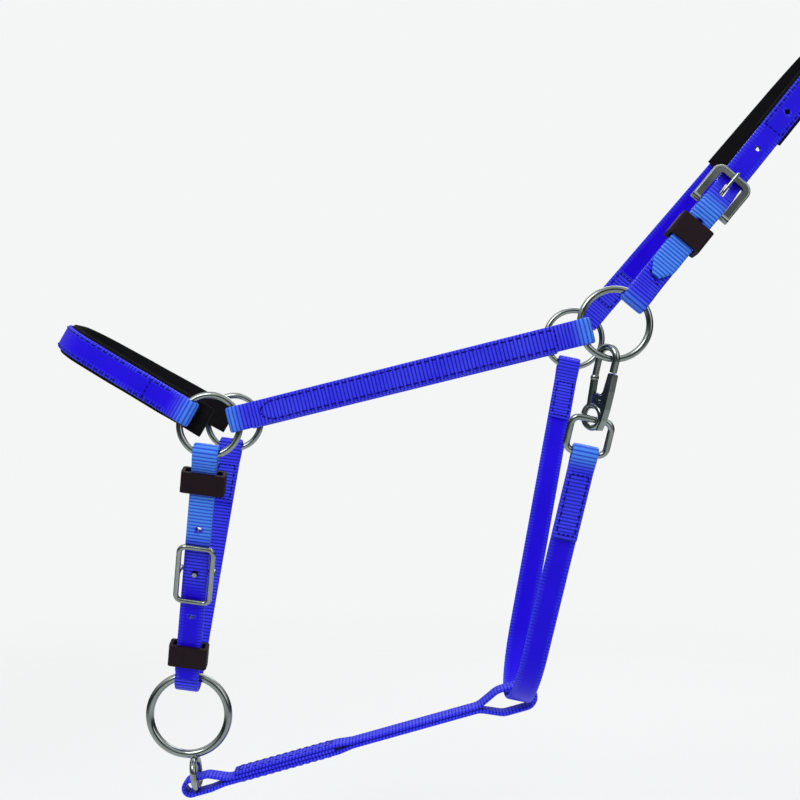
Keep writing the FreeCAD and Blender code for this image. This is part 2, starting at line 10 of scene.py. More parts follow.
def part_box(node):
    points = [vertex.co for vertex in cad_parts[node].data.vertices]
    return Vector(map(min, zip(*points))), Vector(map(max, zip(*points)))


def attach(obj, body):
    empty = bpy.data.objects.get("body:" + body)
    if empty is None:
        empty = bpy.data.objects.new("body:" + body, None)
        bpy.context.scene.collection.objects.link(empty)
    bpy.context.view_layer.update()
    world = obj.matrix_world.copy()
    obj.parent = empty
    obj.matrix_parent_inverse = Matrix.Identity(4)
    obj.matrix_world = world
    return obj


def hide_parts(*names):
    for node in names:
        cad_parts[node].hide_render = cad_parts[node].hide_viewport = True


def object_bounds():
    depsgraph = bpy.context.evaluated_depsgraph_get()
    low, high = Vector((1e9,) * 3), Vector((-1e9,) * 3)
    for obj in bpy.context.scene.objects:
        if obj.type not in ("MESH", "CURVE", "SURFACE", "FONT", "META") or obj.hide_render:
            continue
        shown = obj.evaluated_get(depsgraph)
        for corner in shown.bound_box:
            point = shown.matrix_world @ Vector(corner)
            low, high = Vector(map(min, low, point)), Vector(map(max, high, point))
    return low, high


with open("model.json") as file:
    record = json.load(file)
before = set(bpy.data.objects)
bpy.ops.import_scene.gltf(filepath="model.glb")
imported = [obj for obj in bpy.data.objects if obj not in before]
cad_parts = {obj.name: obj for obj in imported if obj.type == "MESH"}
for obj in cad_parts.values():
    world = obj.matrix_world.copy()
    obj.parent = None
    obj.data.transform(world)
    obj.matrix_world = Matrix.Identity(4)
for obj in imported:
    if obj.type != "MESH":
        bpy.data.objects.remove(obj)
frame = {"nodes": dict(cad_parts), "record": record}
cad_box = [list(corner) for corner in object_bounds()]
nodes = frame["nodes"]
mounts = {mount["name"]: Vector(mount["pos_m"]) for mount in frame["record"]["mounts"]}
mm = 0.001


# ---- Cheek and nose rings ----
# Four closed rings of round stainless wire, bent, butt welded and tumbled to a bright polish.
# The straps fold round them, so each one turns freely in its folds.
def linear(hex_colour):
    """The linear colour of an sRGB hex value."""
    channels = [int(hex_colour[place:place + 2], 16) / 255 for place in (1, 3, 5)]
    return tuple(c / 12.92 if c <= 0.04045 else ((c + 0.055) / 1.055) ** 2.4 for c in channels) + (1.0,)


def add(material, kind, inputs=None, **properties):
    """Adds a shader node: inputs takes values or the sockets that feed them."""
    node = material.node_tree.nodes.new("ShaderNode" + kind)
    for name, value in properties.items():
        setattr(node, name, value)
    for name, value in (inputs or {}).items():
        if isinstance(value, bpy.types.NodeSocket):
            material.node_tree.links.new(value, node.inputs[name])
        else:
            node.inputs[name].default_value = value
    return node


def new_material(name):
    material = bpy.data.materials.new(name)
    material.use_nodes = True
    material.node_tree.nodes.clear()
    return material


def surface(material, inputs):
    """Ends a material with its shader."""
    shader = add(material, "BsdfPrincipled", inputs)
    add(material, "OutputMaterial", {"Surface": shader.outputs["BSDF"]})


# Tumbled stainless steel: a bright, slightly green grey mirror, softened by the tumbling's fine
# random scratches, and a little duller where hands have left a film.
stainless = new_material("tumbled_stainless_steel")
steel_place = add(stainless, "TexCoord")
scratch_size = 0.25 * mm
steel_scratches = add(stainless, "TexNoise", {
    "Vector": steel_place.outputs["Object"], "Scale": 1 / scratch_size, "Detail": 3.0, "Distortion": 1.5})
film_size = 14 * mm
steel_film = add(stainless, "TexNoise", {
    "Vector": steel_place.outputs["Object"], "Scale": 1 / film_size, "Detail": 4.0})
steel_tone = add(stainless, "Mix", {
    0: steel_film.outputs["Fac"], 6: linear("#666F6B"), 7: linear("#A2AAA6")}, data_type="RGBA")
steel_gloss = add(stainless, "MapRange", {
    "Value": steel_film.outputs["Fac"], "From Min": 0.3, "From Max": 0.7, "To Min": 0.12, "To Max": 0.24})
steel_relief = add(stainless, "Bump", {
    "Height": steel_scratches.outputs["Fac"], "Strength": 0.12, "Distance": 0.02 * mm})
surface(stainless, {
    "Base Color": steel_tone.outputs[2], "Metallic": 1.0, "Roughness": steel_gloss.outputs[0],
    "Normal": steel_relief.outputs[0]})


def finish_node(name, material, smooth_to=35):
    """Gives a CAD piece its material, and smooth shading across edges flatter than an angle."""
    mesh = nodes[name].data
    mesh.materials.clear()
    mesh.materials.append(material)
    mesh.shade_smooth()
    mesh.set_sharp_from_angle(angle=radians(smooth_to))


for ring_name in ("near_cheek_ring", "far_cheek_ring", "near_nose_ring", "far_nose_ring"):
    finish_node(ring_name, stainless)

webbing_width = 16 * mm
webbing_thickness = 2.5 * mm
layer_gap = 0.1 * mm
half_webbing = webbing_thickness / 2
half_layer = (webbing_thickness + layer_gap) / 2
ring_wire = 4.2 * mm


def middle(name):
    low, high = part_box(name)
    return (low + high) / 2


cheek_middle = middle("near_cheek_ring")
nose_middle = middle("near_nose_ring")
cheek_half_width = -cheek_middle.y
nose_half_width = -nose_middle.y
cheek_centre = Vector((cheek_middle.x, 0, cheek_middle.z))
nose_centre = Vector((nose_middle.x, 0, nose_middle.z))


def ring_dip(name):
    """Distance from the ring's centre to its wire at the webbing's edges, and how far that falls short."""
    low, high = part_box(name)
    radius = (high.x - low.x - ring_wire) / 2
    fold_place = sqrt(radius ** 2 - (webbing_width / 2) ** 2)
    return fold_place, radius - fold_place


cheek_fold, cheek_dip = ring_dip("near_cheek_ring")
nose_fold, nose_dip = ring_dip("near_nose_ring")


# ---- Cheek straps ----
# One strip of ribbed nylon webbing a side, folded round both rings and sewn back on itself.
# Its two cut ends meet inside, and a long box of stitches holds the layers together.
def flat(x, y):
    return Vector((x, y, 0))


def left_of(heading):
    return flat(-heading.y, heading.x)


def heading_to(start, end):
    return (end - start).normalized()


def along(start, end, distance, outward=0.0):
    heading = heading_to(start, end)
    return start + heading * distance + left_of(heading) * outward


def angle_to(start, end):
    """Angle in the side view, from +X towards +Z."""
    return atan2(end.z - start.z, end.x - start.x)


def strap_plane(centre, angle):
    """Where a strap lies: x runs to the far side, y along the strap and z across its width."""
    c = cos(angle)
    s = sin(angle)

    def place(x, y, z):
        return Vector((centre.x + c * y + s * z, x, centre.z + s * y - c * z))
    return place


def fold(centre, heading, bar_wire, clearance, dip, tail, side, release=True):
    """Route of webbing that comes in along heading, folds round a bar and is sewn back."""
    radius = bar_wire / 2 + clearance + half_webbing
    straight = dip + bar_wire / 2
    spread = 9 * mm
    bend = 9 * mm
    left = left_of(heading) * side
    points = [
        centre - heading * (straight + spread) + left * half_layer,
        centre - heading * straight + left * radius,
        centre + heading * radius + left * radius,
        centre + heading * radius - left * radius,
        centre - heading * straight - left * radius,
        centre - heading * (straight + spread) - left * half_layer,
        centre - heading * tail - left * half_layer,
    ]
    radii = [bend, bend, radius, radius, bend, bend]
    if release:
        points.insert(0, centre - heading * (tail + 5 * mm) + left * half_layer)
        radii.insert(0, bend)
    return points, radii


def joined(*stretches):
    points = [point for stretch in stretches for point in stretch[0]]
    radii = [radius for stretch in stretches for radius in stretch[1]]
    return points, radii


def backwards(stretch):
    return stretch[0][::-1], stretch[1][::-1]


def rounded_line(points, radii=()):
    """Samples of straight runs joined by tangent arcs: (point, heading, distance so far)."""
    samples = [(points[0], heading_to(points[0], points[1]))]

    def run_to(end):
        start = samples[-1][0]
        length = (end - start).length
        if length > 0.01 * mm:
            heading = heading_to(start, end)
            count = max(1, ceil(length / (2.2 * mm)))
            samples.extend((start.lerp(end, step / count), heading) for step in range(1, count + 1))

    for before, corner, after, radius in zip(points, points[1:], points[2:], radii):
        incoming = heading_to(before, corner)
        outgoing = heading_to(corner, after)
        turn = incoming.angle(outgoing)
        if turn < 0.001:
            continue
        side = 1 if incoming.cross(outgoing).z > 0 else -1
        arc_start = corner - incoming * (radius * tan(turn / 2))
        arc_centre = arc_start + left_of(incoming) * (side * radius)
        run_to(arc_start)
        count = max(2, ceil(turn / radians(11)), ceil(turn * radius / (2.2 * mm)))
        for step in range(1, count + 1):
            bent = Matrix.Rotation(side * turn * step / count, 3, "Z")
            samples.append((arc_centre + bent @ (arc_start - arc_centre), bent @ incoming))
    run_to(points[-1])
    line = []
    distance = 0.0
    for index, (point, heading) in enumerate(samples):
        if index:
            distance += (point - samples[index - 1][0]).length
        line.append((point, heading, distance))
    return line


# Fractions of the half width: close together at the woven edge, which is rounded
columns = [-1, -0.975, -0.92, -0.84, -0.5, 0, 0.5, 0.84, 0.92, 0.975, 1]


def within(stretches, distance, fade=11 * mm):
    """How far a place lies within any of a strap's stretches, from 0 to 1."""
    shares = [min(distance - start, end - distance) / fade + 0.5 for start, end in stretches]
    share = max([0.0] + [min(max(share, 0.0), 1.0) for share in shares])
    return share * share * (3 - 2 * share)


def strip(name, line, place, width, thickness, material, start_width=None, crown=0.0, painted_highlight=(), smooth_painted_shade=()):
    """A flat strip along a line, with rounded edges, a crown in its middle and a shaped start.

    It is painted pale blue as highlight along its pale stretches, and along its pressed ones its weave is
    flattened and painted deeper blue as shade.
    """
    mesh = bpy.data.meshes.new(name)
    built = bmesh.new()
    lengths = built.loops.layers.uv.new("UVMap")
    # Per-vertex shares of the painted highlight and of the flattened, painted-shade stretches
    rub_wear_and_painted_highlight = built.verts.layers.float.new("rub_wear_and_painted_highlight")
    smoothed_with_painted_shade = built.verts.layers.float.new("smoothed_with_painted_shade")
    edge_round = 0.7 * thickness
    rows = []
    for point, heading, distance in line:
        half = width / 2
        if start_width:
            half = min(half, start_width(distance))
        left = left_of(heading)
        tops = []
        bottoms = []
        for share in columns:
            from_edge = min((1 - abs(share)) * half / edge_round, 1)
            rise = thickness / 2 * (sqrt(1 - (1 - from_edge) ** 2) * (1 - crown * share * share))
            across = share * half
            top = point + left * rise
            tops.append((built.verts.new(place(top.x, top.y, across)), across))
            if abs(share) < 1:
                bottom = point - left * rise
                bottoms.append((built.verts.new(place(bottom.x, bottom.y, across)), across))
        for vertex, across in tops + bottoms:
            vertex[rub_wear_and_painted_highlight] = within(painted_highlight, distance)
            vertex[smoothed_with_painted_shade] = within(smooth_painted_shade, distance) * min((1 - abs(across) / half) / 0.4, 1)
        rows.append((tops + bottoms[::-1], distance))
    count = len(rows[0][0])
    for (first, near), (second, far) in zip(rows, rows[1:]):
        for index in range(count):
            after = (index + 1) % count
            corners = [(first[index], near), (first[after], near), (second[after], far), (second[index], far)]
            face = built.faces.new([vertex for (vertex, across), distance in corners])
            face.smooth = True
            for loop, ((vertex, across), distance) in zip(face.loops, corners):
                loop[lengths].uv = (distance, across)
    for (ends, distance) in (rows[0], rows[-1]):
        face = built.faces.new([vertex for vertex, across in ends])
        for loop, (vertex, across) in zip(face.loops, ends):
            loop[lengths].uv = (distance, across)
    bmesh.ops.recalc_face_normals(built, faces=built.faces)
    built.to_mesh(mesh)
    built.free()
    mesh.materials.append(material)
    strap = bpy.data.objects.new(name, mesh)
    bpy.context.scene.collection.objects.link(strap)
    return strap


# Ribbed nylon webbing, dyed royal blue: round weft ribs across the strap with fine warp yarns
# over them, painted shade in the grooves, and a pale blue painted highlight on the stretches by the
# ring folds. Other stretches have their weave flattened and are painted deeper blue as shade.
webbing = new_material("dyed_ribbed_nylon_webbing")
woven_place = add(webbing, "UVMap")
woven = add(webbing, "SeparateXYZ", {"Vector": woven_place.outputs["UV"]})
# Shares of painted highlight and of flattened, painted-shade webbing, set per vertex by strip()
painted_highlight_share = add(webbing, "Attribute", attribute_name="rub_wear_and_painted_highlight")
smoothed_painted_shade_share = add(webbing, "Attribute", attribute_name="smoothed_with_painted_shade")
rib_pitch = 2.3 * mm
yarn_pitch = 0.9 * mm
rib_turn = add(webbing, "Math", {0: woven.outputs["X"], 1: pi / rib_pitch}, operation="MULTIPLY")
rib_wave = add(webbing, "Math", {0: rib_turn.outputs[0]}, operation="SINE")
rib_round = add(webbing, "Math", {0: rib_wave.outputs[0]}, operation="ABSOLUTE")
rib_crest = add(webbing, "Math", {0: rib_round.outputs[0], 1: 0.6}, operation="POWER")
yarn_turn = add(webbing, "Math", {0: woven.outputs["Y"], 1: pi / yarn_pitch}, operation="MULTIPLY")
yarn_wave = add(webbing, "Math", {0: yarn_turn.outputs[0]}, operation="SINE")
yarn_round = add(webbing, "Math", {0: yarn_wave.outputs[0]}, operation="ABSOLUTE")
weave_height = add(webbing, "Math", {
    0: yarn_round.outputs[0], 1: 0.16, 2: rib_crest.outputs[0]}, operation="MULTIPLY_ADD")
weave_left = add(webbing, "MapRange", {
    "Value": smoothed_painted_shade_share.outputs["Fac"], "To Min": 1.0, "To Max": 0.08})
pressed_height = add(webbing, "Math", {
    0: weave_height.outputs[0], 1: weave_left.outputs[0]}, operation="MULTIPLY")
object_place = add(webbing, "TexCoord")
dye_patch = 22 * mm
dye = add(webbing, "TexNoise", {
    "Vector": object_place.outputs["Object"], "Scale": 1 / dye_patch, "Detail": 5.0})
ribbed_tone = add(webbing, "Mix", {
    0: dye.outputs["Fac"], 6: linear("#2E22EC"), 7: linear("#4650F8")}, data_type="RGBA")
# Painted highlight: the stretches by the ring folds are mixed toward pale blue
painted_highlight_tone = add(webbing, "Mix", {
    0: painted_highlight_share.outputs["Fac"], 6: ribbed_tone.outputs[2], 7: linear("#4F8CF4")}, data_type="RGBA")
crest_light = add(webbing, "MapRange", {
    "Value": rib_crest.outputs[0], "From Min": 0.25, "From Max": 0.95, "To Min": 0.0, "To Max": 1.0})
# Painted shade in the rib grooves, a little lighter within the painted highlight
groove_painted_shade_tone = add(webbing, "Mix", {
    0: painted_highlight_share.outputs["Fac"], 6: linear("#1400A6"), 7: linear("#1E3CD4")}, data_type="RGBA")
weave_tone = add(webbing, "Mix", {
    0: crest_light.outputs[0], 6: groove_painted_shade_tone.outputs[2], 7: painted_highlight_tone.outputs[2]}, data_type="RGBA")
# Painted shade: a deeper blue where the weave is flattened, for webbing turned away from the light
painted_shade_tone = add(webbing, "Mix", {
    0: dye.outputs["Fac"], 6: linear("#1600C4"), 7: linear("#2600E8")}, data_type="RGBA")
webbing_tone = add(webbing, "Mix", {
    0: smoothed_painted_shade_share.outputs["Fac"], 6: weave_tone.outputs[2], 7: painted_shade_tone.outputs[2]},
    data_type="RGBA")
webbing_relief = add(webbing, "Bump", {
    "Height": pressed_height.outputs[0], "Strength": 0.9, "Distance": 0.5 * mm})
surface(webbing, {
    "Base Color": webbing_tone.outputs[2], "Roughness": 0.4, "Specular Tint": linear("#8CB8FF"),
    "Specular IOR Level": 0.22, "Sheen Weight": 0.03, "Sheen Roughness": 0.35,
    "Sheen Tint": linear("#5AA0FF"), "Normal": webbing_relief.outputs[0]})

# Bonded nylon thread, a darker blue than the webbing, with a waxy gloss and its two plies just
# showing. It is drawn down into the weave, so each stitch sits in its own shadow.
thread = new_material("bonded_nylon_thread")
thread_place = add(thread, "TexCoord")
ply_pitch = 0.7 * mm
thread_ply = add(thread, "TexNoise", {
    "Vector": thread_place.outputs["Object"], "Scale": 1 / ply_pitch, "Detail": 2.0})
thread_tone = add(thread, "Mix", {
    0: thread_ply.outputs["Fac"], 6: linear("#06004A"), 7: linear("#140694")}, data_type="RGBA")
thread_relief = add(thread, "Bump", {
    "Height": thread_ply.outputs["Fac"], "Strength": 0.4, "Distance": 0.08 * mm})
surface(thread, {
    "Base Color": thread_tone.outputs[2], "Roughness": 0.36, "Specular Tint": linear("#5468FF"),
    "Specular IOR Level": 0.35, "Normal": thread_relief.outputs[0]})


def point_at(line, distance):
    for (start, heading, near), (end, ahead, far) in zip(line, line[1:]):
        if distance <= far + 1e-9:
            share = (distance - near) / (far - near)
            return start.lerp(end, share), heading.lerp(ahead, share).normalized()
    return line[-1][0], line[-1][1]


def row(start, end, across, pitch=4.8 * mm):
    """Stitches along a strap, each as (distance, across) at its two needle holes."""
    count = max(1, round((end - start) / pitch))
    step = (end - start) / count
    return [((start + i * step, across), (start + (i + 0.76) * step, across)) for i in range(count)]


def bar(distance, low, high, pitch=3.0 * mm):
    """Stitches straight across a strap."""
    count = max(1, round((high - low) / pitch))
    step = (high - low) / count
    return [((distance, low + i * step), (distance, low + (i + 0.78) * step)) for i in range(count)]


def sewn_box(start, end, aside):
    """Two rows of stitches along a strap with a row across each end."""
    return (row(start, end, aside) + row(start, end, -aside)
            + bar(start, -aside, aside) + bar(end, -aside, aside))


def slant(start, low, end, high, pitch=3.0 * mm):
    """Stitches on a slope from one point of a strap to another."""
    count = max(1, round(sqrt((end - start) ** 2 + (high - low) ** 2) / pitch))

    def at(share):
        return start + (end - start) * share, low + (high - low) * share
    return [(at(i / count), at((i + 0.78) / count)) for i in range(count)]


def sew(name, line, place, outward, stitches, body):
    """Thread lying on a strap's face: each stitch rises from one needle hole and dips at the next."""
    thread_radius = 0.5 * mm
    # along the stitch as a share, rise in millimetres and thickness as a share
    stitch_shape = (
        (0, -0.3, 0.45), (0.12, 0.0, 0.85), (0.5, 0.16, 1), (0.88, 0.0, 0.85), (1, -0.3, 0.45))
    mesh = bpy.data.meshes.new(name)
    built = bmesh.new()
    for (start, low), (end, high) in stitches:
        rings = []
        for share, rise, thick in stitch_shape:
            point, heading = point_at(line, start + (end - start) * share)
            up = left_of(heading) * (1 if outward > 0 else -1)
            centre = point + up * (abs(outward) + rise * mm)
            across = low + (high - low) * share
            run = Vector((end - start, high - low)).normalized()
            ring = []
            for turn in range(6):
                angle = pi / 3 * turn
                lift = sin(angle) * thread_radius * thick * 0.8
                aside = cos(angle) * thread_radius * thick
                spot = centre + up * lift + heading * (-run.y * aside)
                ring.append(built.verts.new(place(spot.x, spot.y, across + run.x * aside)))
            rings.append(ring)
        for first, second in zip(rings, rings[1:]):
            for index in range(6):
                after = (index + 1) % 6
                built.faces.new((first[index], first[after], second[after], second[index])).smooth = True
        built.faces.new(rings[0])
        built.faces.new(rings[-1])
    bmesh.ops.recalc_face_normals(built, faces=built.faces)
    built.to_mesh(mesh)
    built.free()
    mesh.materials.append(thread)
    sewn = bpy.data.objects.new(name, mesh)
    bpy.context.scene.collection.objects.link(sewn)
    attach(sewn, body)
    return sewn


ring_clearance = 0.9 * mm
stitch_row = 5.7 * mm
pad_row = 6.4 * mm
cheek_angle = angle_to(nose_centre, cheek_centre)
cheek_length = (cheek_centre - nose_centre).length
cheek_front = flat(-nose_half_width, nose_fold)
cheek_back = flat(-cheek_half_width, cheek_length - cheek_fold)
cheek_rise = heading_to(cheek_front, cheek_back)
cheek_half = (cheek_back - cheek_front).length / 2 - 0.5 * mm
cheek_route = rounded_line(*joined(
    backwards(fold(cheek_front, -cheek_rise, ring_wire, ring_clearance, nose_dip, cheek_half, -1, False)),
    fold(cheek_back, cheek_rise, ring_wire, ring_clearance, cheek_dip, cheek_half, 1, False),
))
cheek_face = rounded_line([cheek_front, cheek_back])
cheek_sewn_from = 17 * mm
cheek_sewn_to = (cheek_back - cheek_front).length - 17 * mm
cheek_box = [
    *row(cheek_sewn_from + 6 * mm, cheek_sewn_to, stitch_row),
    *row(cheek_sewn_from + 6 * mm, cheek_sewn_to, -stitch_row),
    *bar(cheek_sewn_from, -stitch_row * 0.4, stitch_row * 0.4),
    *slant(cheek_sewn_from, stitch_row * 0.4, cheek_sewn_from + 6 * mm, stitch_row),
    *slant(cheek_sewn_from, -stitch_row * 0.4, cheek_sewn_from + 6 * mm, -stitch_row),
    *bar(cheek_sewn_to, -stitch_row, stitch_row),
]
cheek_turn = cheek_half + 8 * mm
cheek_total = cheek_route[-1][2]
# Painted highlight on a short stretch past each ring fold
cheek_painted_highlight = [(cheek_turn - 6 * mm, cheek_turn + 8 * mm),
              (cheek_total - cheek_turn - 8 * mm, cheek_total - cheek_turn + 6 * mm)]
for side, sign in (("near", 1), ("far", -1)):
    flat_cheek = strap_plane(nose_centre, cheek_angle)

    def cheek_place(x, y, z, sign=sign):
        return flat_cheek(sign * x, y, z)

    cheek_strap = strip(side + "_cheek_webbing", cheek_route, cheek_place, webbing_width, webbing_thickness,
                        webbing, painted_highlight=cheek_painted_highlight)
    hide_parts(side + "_cheek_strap")
    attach(cheek_strap, "cheeks")
    sew(side + "_cheek_stitching", cheek_face, cheek_place, half_layer + half_webbing, cheek_box, "cheeks")
    sew(side + "_cheek_under_stitching", cheek_face, cheek_place, -half_layer - half_webbing, cheek_box,
        "cheeks")


# ---- Noseband ----
# The same webbing over the bridge of the nose, with a sewn fold round each nose ring.
# A row of stitches along each edge holds the pad under it.
noseband_half_width = 36 * mm
noseband_corner = 34 * mm
sewn_tail = 42 * mm
sewn_from = 15 * mm
far_end_box = sewn_box(sewn_from, sewn_tail - 2 * mm, stitch_row)
pad_thickness = 3 * mm
pad_width = webbing_width + 4 * mm
running_gap = 0.4 * mm
noseband_angle = angle_to(nose_centre, mounts["nose_seat"])
noseband_reach = (mounts["nose_seat"] - nose_centre).length + pad_thickness + layer_gap + half_webbing
nose_place = strap_plane(nose_centre, noseband_angle)
nose_start = flat(-nose_half_width, nose_fold)
nose_finish = flat(nose_half_width, nose_fold)
nose_left = flat(-noseband_half_width, noseband_reach)
nose_right = flat(noseband_half_width, noseband_reach)
noseband_route = rounded_line(*joined(
    backwards(fold(nose_start, heading_to(nose_left, nose_start), ring_wire, ring_clearance,
                   nose_dip, sewn_tail, -1)),
    ([nose_left, nose_right], [noseband_corner] * 2),
    fold(nose_finish, heading_to(nose_right, nose_finish), ring_wire, ring_clearance,
         nose_dip, sewn_tail, 1),
))
noseband_long = noseband_route[-1][2]
nose_turn = sewn_tail + 8 * mm
# Painted highlight past each fold at the nose rings; flattened weave and painted shade across the middle
noseband_strap = strip(
    "noseband_strip", noseband_route, nose_place, webbing_width, webbing_thickness, webbing,
    painted_highlight=[(nose_turn - 6 * mm, nose_turn + 7 * mm),
          (noseband_long - nose_turn - 7 * mm, noseband_long - nose_turn + 6 * mm)],
    smooth_painted_shade=[(nose_turn + 14 * mm, noseband_long - nose_turn - 14 * mm)])
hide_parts("noseband_webbing")
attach(noseband_strap, "noseband")
noseband_face = rounded_line([nose_start, nose_left, nose_right, nose_finish], [noseband_corner] * 2)
noseband_total = noseband_face[-1][2]
noseband_ends = [
    stitch for start, end, cross in (
        (sewn_from, sewn_tail, 30 * mm),
        (noseband_total - sewn_tail, noseband_total - sewn_from, noseband_total - 30 * mm))
    for stitch in row(start, end, pad_row) + row(start, end, -pad_row) + bar(cross, -pad_row, pad_row)
]
nose_sewn_end = sewn_tail + 5 * mm
noseband_run = rounded_line([
    along(nose_start, nose_left, nose_sewn_end, half_layer), nose_left, nose_right,
    along(nose_finish, nose_right, nose_sewn_end, -half_layer)], [noseband_corner] * 2)
noseband_edges = [
    stitch for side in (-6.2 * mm, 6.2 * mm)
    for stitch in row(4 * mm, noseband_run[-1][2] - 4 * mm, side)
]
sew("noseband_stitching", noseband_run, nose_place, half_webbing, noseband_edges, "noseband")
sew("noseband_end_stitching", noseband_face, nose_place, half_layer + half_webbing, noseband_ends, "noseband")


# ---- Noseband pad ----
# A strip of black felt under the noseband, a little wider than the webbing so that its edges show.
# It runs past the folds to end inside each nose ring, which keeps the steel off the skin.
def moved_corner(before, corner, after, offset):
    first = left_of(heading_to(before, corner))
    second = left_of(heading_to(corner, after))
    return corner + (first + second) * (offset / (1 + first.dot(second)))


# Pressed black wool felt: matt and nearly lightless, with tangled fibres, paler lint and a
# soft haze where the light grazes it.
felt = new_material("pressed_wool_felt")
felt_place = add(felt, "TexCoord")
fibre_width = 0.35 * mm
fibres = add(felt, "TexNoise", {
    "Vector": felt_place.outputs["Object"], "Scale": 1 / fibre_width, "Detail": 4.0, "Distortion": 2.0})
clump_size = 3 * mm
clumps = add(felt, "TexNoise", {
    "Vector": felt_place.outputs["Object"], "Scale": 1 / clump_size, "Detail": 3.0})
felt_tone = add(felt, "Mix", {
    0: clumps.outputs["Fac"], 6: linear("#050506"), 7: linear("#0F0E11")}, data_type="RGBA")
felt_height = add(felt, "Math", {
    0: clumps.outputs["Fac"], 1: 1.4, 2: fibres.outputs["Fac"]}, operation="MULTIPLY_ADD")
felt_relief = add(felt, "Bump", {
    "Height": felt_height.outputs[0], "Strength": 0.7, "Distance": 0.3 * mm})
surface(felt, {
    "Base Color": felt_tone.outputs[2], "Roughness": 0.95, "Specular IOR Level": 0.15,
    "Sheen Weight": 0.06, "Sheen Roughness": 0.6, "Sheen Tint": linear("#54545C"),
    "Normal": felt_relief.outputs[0]})


def pad_strip(name, line, place, body, node):
    pad = strip(name, line, place, pad_width, pad_thickness, felt, crown=0.12)
    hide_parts(node)
    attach(pad, body)


over_fold = -(ring_wire / 2 + ring_clearance + webbing_thickness + running_gap + pad_thickness / 2)
over_tail = -(half_layer + half_webbing + layer_gap + pad_thickness / 2)
over_strap = -(half_webbing + layer_gap + pad_thickness / 2)
nose_pad_side = [
    along(nose_start, nose_left, -13 * mm, over_fold),
    along(nose_start, nose_left, 8 * mm, over_fold),
    along(nose_start, nose_left, 18 * mm, over_tail),
    along(nose_start, nose_left, sewn_tail + 2 * mm, over_tail),
    along(nose_start, nose_left, sewn_tail + 14 * mm, over_strap + half_layer * 0.6),
    moved_corner(nose_start, nose_left, nose_right, over_strap),
]
nose_pad_bends = [14 * mm] * 4
nose_pad_route = rounded_line(
    nose_pad_side + [flat(-point.x, point.y) for point in nose_pad_side[::-1]],
    nose_pad_bends + [noseband_corner + over_strap] * 2 + nose_pad_bends,
)
pad_strip("noseband_felt", nose_pad_route, nose_place, "noseband", "noseband_pad")


# ---- Crown tab ----
# A short doubled strip that holds the crown buckle: one end folds round the near cheek ring and
# the other round the buckle's heel bar, with a zigzag of stitches where its ends meet.
crown_half_width = 46 * mm
crown_angle = angle_to(cheek_centre, mounts["poll_seat"])
crown_rise = (mounts["poll_seat"] - cheek_centre).length
crown_place = strap_plane(cheek_centre, crown_angle)
crown_top = crown_rise + pad_thickness + layer_gap + half_webbing
crown_near = flat(-cheek_half_width, cheek_fold)
crown_far = flat(cheek_half_width, cheek_fold)
crown_near_corner = flat(-crown_half_width, crown_top)
crown_far_corner = flat(crown_half_width, crown_top)
crown_heading = heading_to(crown_near, crown_near_corner)
crown_corner = 0.96 * crown_half_width / tan(crown_heading.angle(flat(1, 0)) / 2)
heel_bar_place = 76.5 * mm
heel_bar_wire = 3.8 * mm
bar_clearance = 0.35 * mm


def on_crown(distance, outward=0.0):
    return along(crown_near, crown_near_corner, distance, outward)


def punched(strap, place, spots, across, down, long=0.0):
    """Punches holes through a strap, each at a (point, heading) of its line."""
    punch = bmesh.new()
    for point, heading in spots:
        outline = []
        for turn in range(20):
            angle = 2 * pi * turn / 20
            reach = (long / 2 - down / 2) * (1 if sin(angle) > 0 else -1) if long else 0.0
            outline.append((across / 2 * cos(angle), down / 2 * sin(angle) + reach))
        loops = []
        for depth in (-9 * mm, 9 * mm):
            loop = []
            for aside, ahead in outline:
                spot = point + heading * ahead + left_of(heading) * depth
                loop.append(punch.verts.new(place(spot.x, spot.y, aside)))
            loops.append(loop)
        for index in range(20):
            after = (index + 1) % 20
            punch.faces.new((loops[0][index], loops[0][after], loops[1][after], loops[1][index]))
        punch.faces.new(loops[0])
        punch.faces.new(loops[1])
    bmesh.ops.recalc_face_normals(punch, faces=punch.faces)
    tool_mesh = bpy.data.meshes.new("punch")
    punch.to_mesh(tool_mesh)
    punch.free()
    tool = bpy.data.objects.new("punch", tool_mesh)
    bpy.context.scene.collection.objects.link(tool)
    cut = strap.modifiers.new("punch", "BOOLEAN")
    cut.object = tool
    cut.solver = "EXACT"
    bpy.context.view_layer.update()
    pierced = bpy.data.meshes.new_from_object(strap.evaluated_get(bpy.context.evaluated_depsgraph_get()))
    strap.modifiers.clear()
    strap.data = pierced
    bpy.data.objects.remove(tool)
    return strap


tab_middle = heel_bar_place / 2
tongue_slot_width = 4.6 * mm
tab_route = rounded_line(*joined(
    backwards(fold(crown_near, -crown_heading, ring_wire, ring_clearance,
                   cheek_dip, tab_middle - 0.5 * mm, 1, False)),
    fold(on_crown(heel_bar_place), crown_heading, heel_bar_wire, bar_clearance,
         0, heel_bar_place - tab_middle - 0.5 * mm, -1, False),
))
tab_total = tab_route[-1][2]
tab_turn = tab_middle + 8 * mm
# Painted highlight past the fold at the cheek ring; flattened weave and painted shade on to the buckle
tab_strap = strip("crown_tab_strip", tab_route, crown_place, webbing_width, webbing_thickness, webbing,
                  painted_highlight=[(tab_turn - 6 * mm, tab_turn + 7 * mm)], smooth_painted_shade=[(tab_turn + 14 * mm, tab_total)])
punched(tab_strap, crown_place, [(on_crown(heel_bar_place + 5 * mm), crown_heading)],
        tongue_slot_width, tongue_slot_width, 22 * mm)
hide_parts("crown_tab")
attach(tab_strap, "crown")
crown_side = rounded_line([crown_near, on_crown(120 * mm)])
zigzag_step = 4 * mm
zigzag_reach = 5 * mm
tab_zigzag = [
    stitch for step in range(4)
    for stitch in slant(sewn_from + step * zigzag_step, zigzag_reach * (-1) ** step,
                        sewn_from + (step + 1) * zigzag_step, -zigzag_reach * (-1) ** step)
]
sew("crown_tab_stitching", crown_side, crown_place, half_layer + half_webbing, tab_zigzag, "crown")


